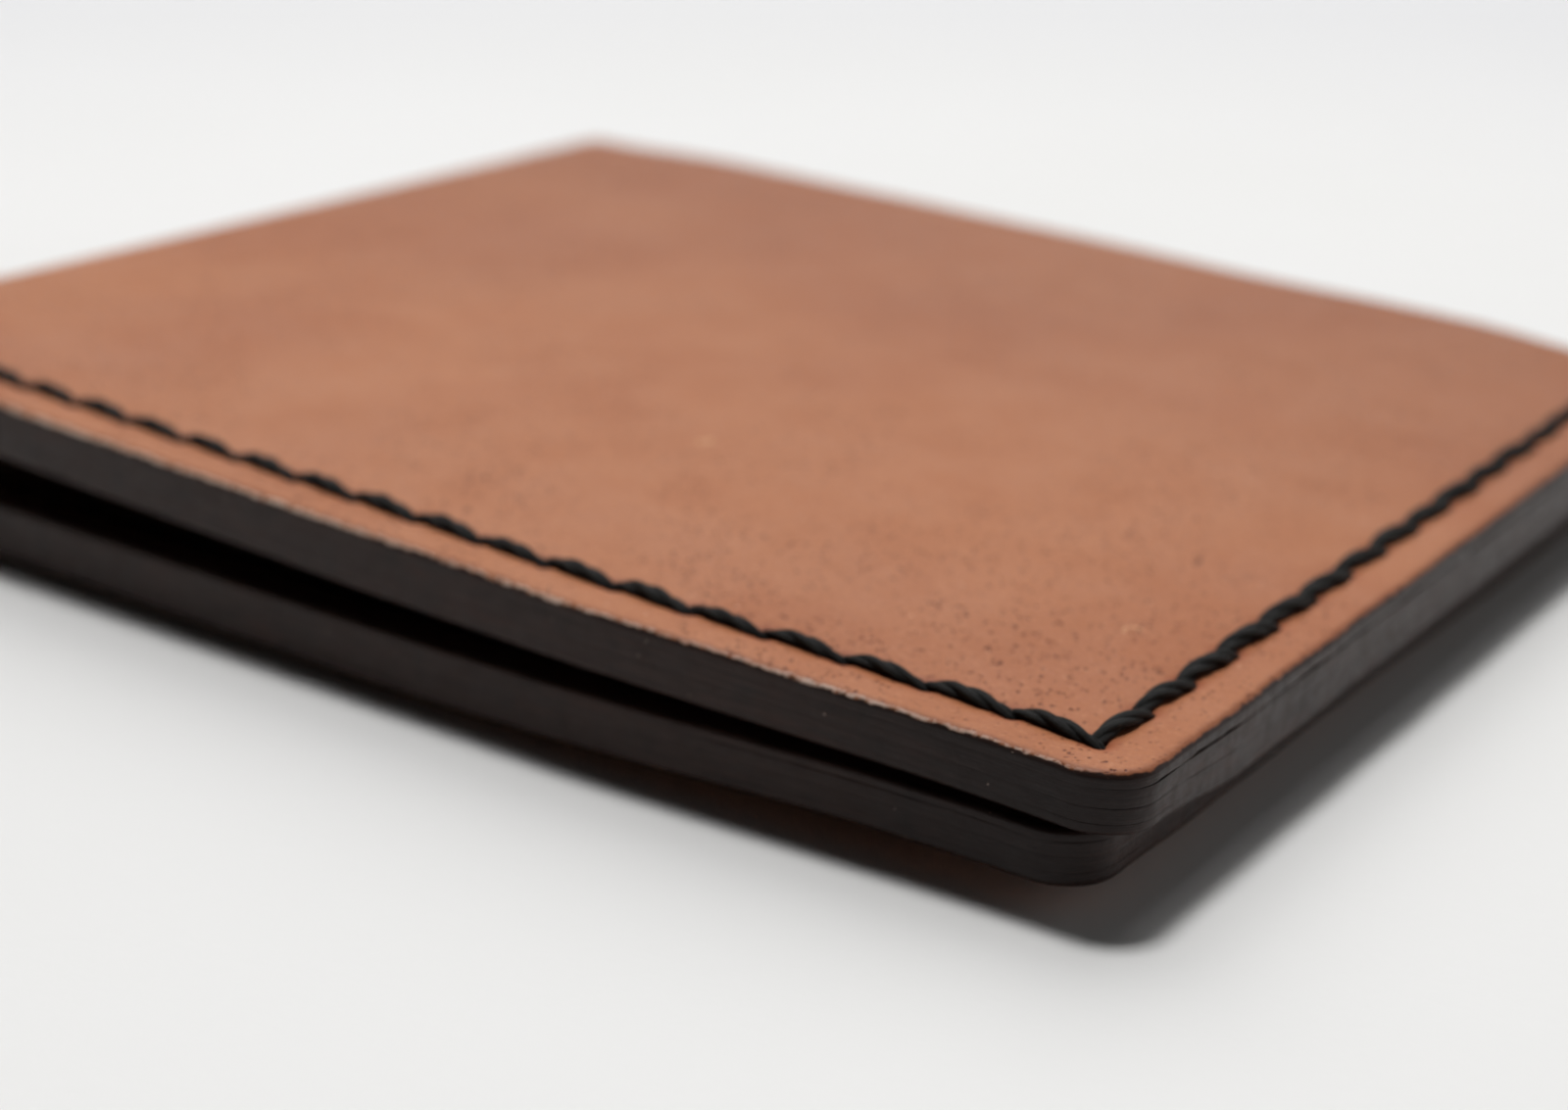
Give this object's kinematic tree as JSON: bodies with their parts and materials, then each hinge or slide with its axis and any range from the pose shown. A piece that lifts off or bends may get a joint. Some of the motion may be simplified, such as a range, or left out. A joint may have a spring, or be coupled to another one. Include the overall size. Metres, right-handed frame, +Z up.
{
  "type": "card holder",
  "caption": "Closed bifold leather card holder: tan cover sewn with dark waxed thread, burnished edges, a card pocket and a note slot in each half.",
  "frame": {"origin": "on the resting plane, in the middle of the closed outline", "axes": "+X from the fold to the free edge, +Y from the stitched bottom edge to the open top edge, +Z up from the back half to the front half"},
  "size_m": [0.1102, 0.088, 0.0125],
  "materials": {
    "cover_leather": "smooth vegetable-tanned tan leather, softly waxed, edges burnished dark brown",
    "filler_leather": "dark brown leather, edge burnished and waxed",
    "lining_leather": "dark brown smooth leather, edges burnished",
    "waxed_thread": "twisted waxed thread, low sheen"
  },
  "bodies": {
    "back_half": {"cover_back_panel": "cover_leather", "edge_filler_back": "filler_leather", "inner_panel_back": "lining_leather", "card_pocket_back": "lining_leather", "edge_thread_back": "waxed_thread", "pocket_thread_back": "waxed_thread"},
    "front_half": {"cover_front_panel": "cover_leather", "edge_filler_front": "filler_leather", "inner_panel_front": "lining_leather", "card_pocket_front": "lining_leather", "edge_thread_front": "waxed_thread", "pocket_thread_front": "waxed_thread"},
    "spine_1": {"cover_spine_1": "cover_leather"},
    "spine_2": {"cover_spine_2": "cover_leather"}
  },
  "joints": [
    {"name": "fold_1", "type": "hinge", "parent": "back_half", "child": "spine_1", "pos_m": [-0.05218, 0, 0.00107], "axis": [0, -1, 0], "range_deg": [0, 60.73]},
    {"name": "fold_2", "type": "hinge", "parent": "spine_1", "child": "spine_2", "pos_m": [-0.05529, 0, 0.00662], "axis": [0, -1, 0], "range_deg": [0, 60.73]},
    {"name": "fold_3", "type": "hinge", "parent": "spine_2", "child": "front_half", "pos_m": [-0.05197, 0, 0.01204], "axis": [0, -1, 0], "range_deg": [0, 60.73]}
  ],
  "couplings": [
    {"joint": "fold_1", "follows": "fold_3", "ratio": 1},
    {"joint": "fold_2", "follows": "fold_3", "ratio": 1}
  ]
}
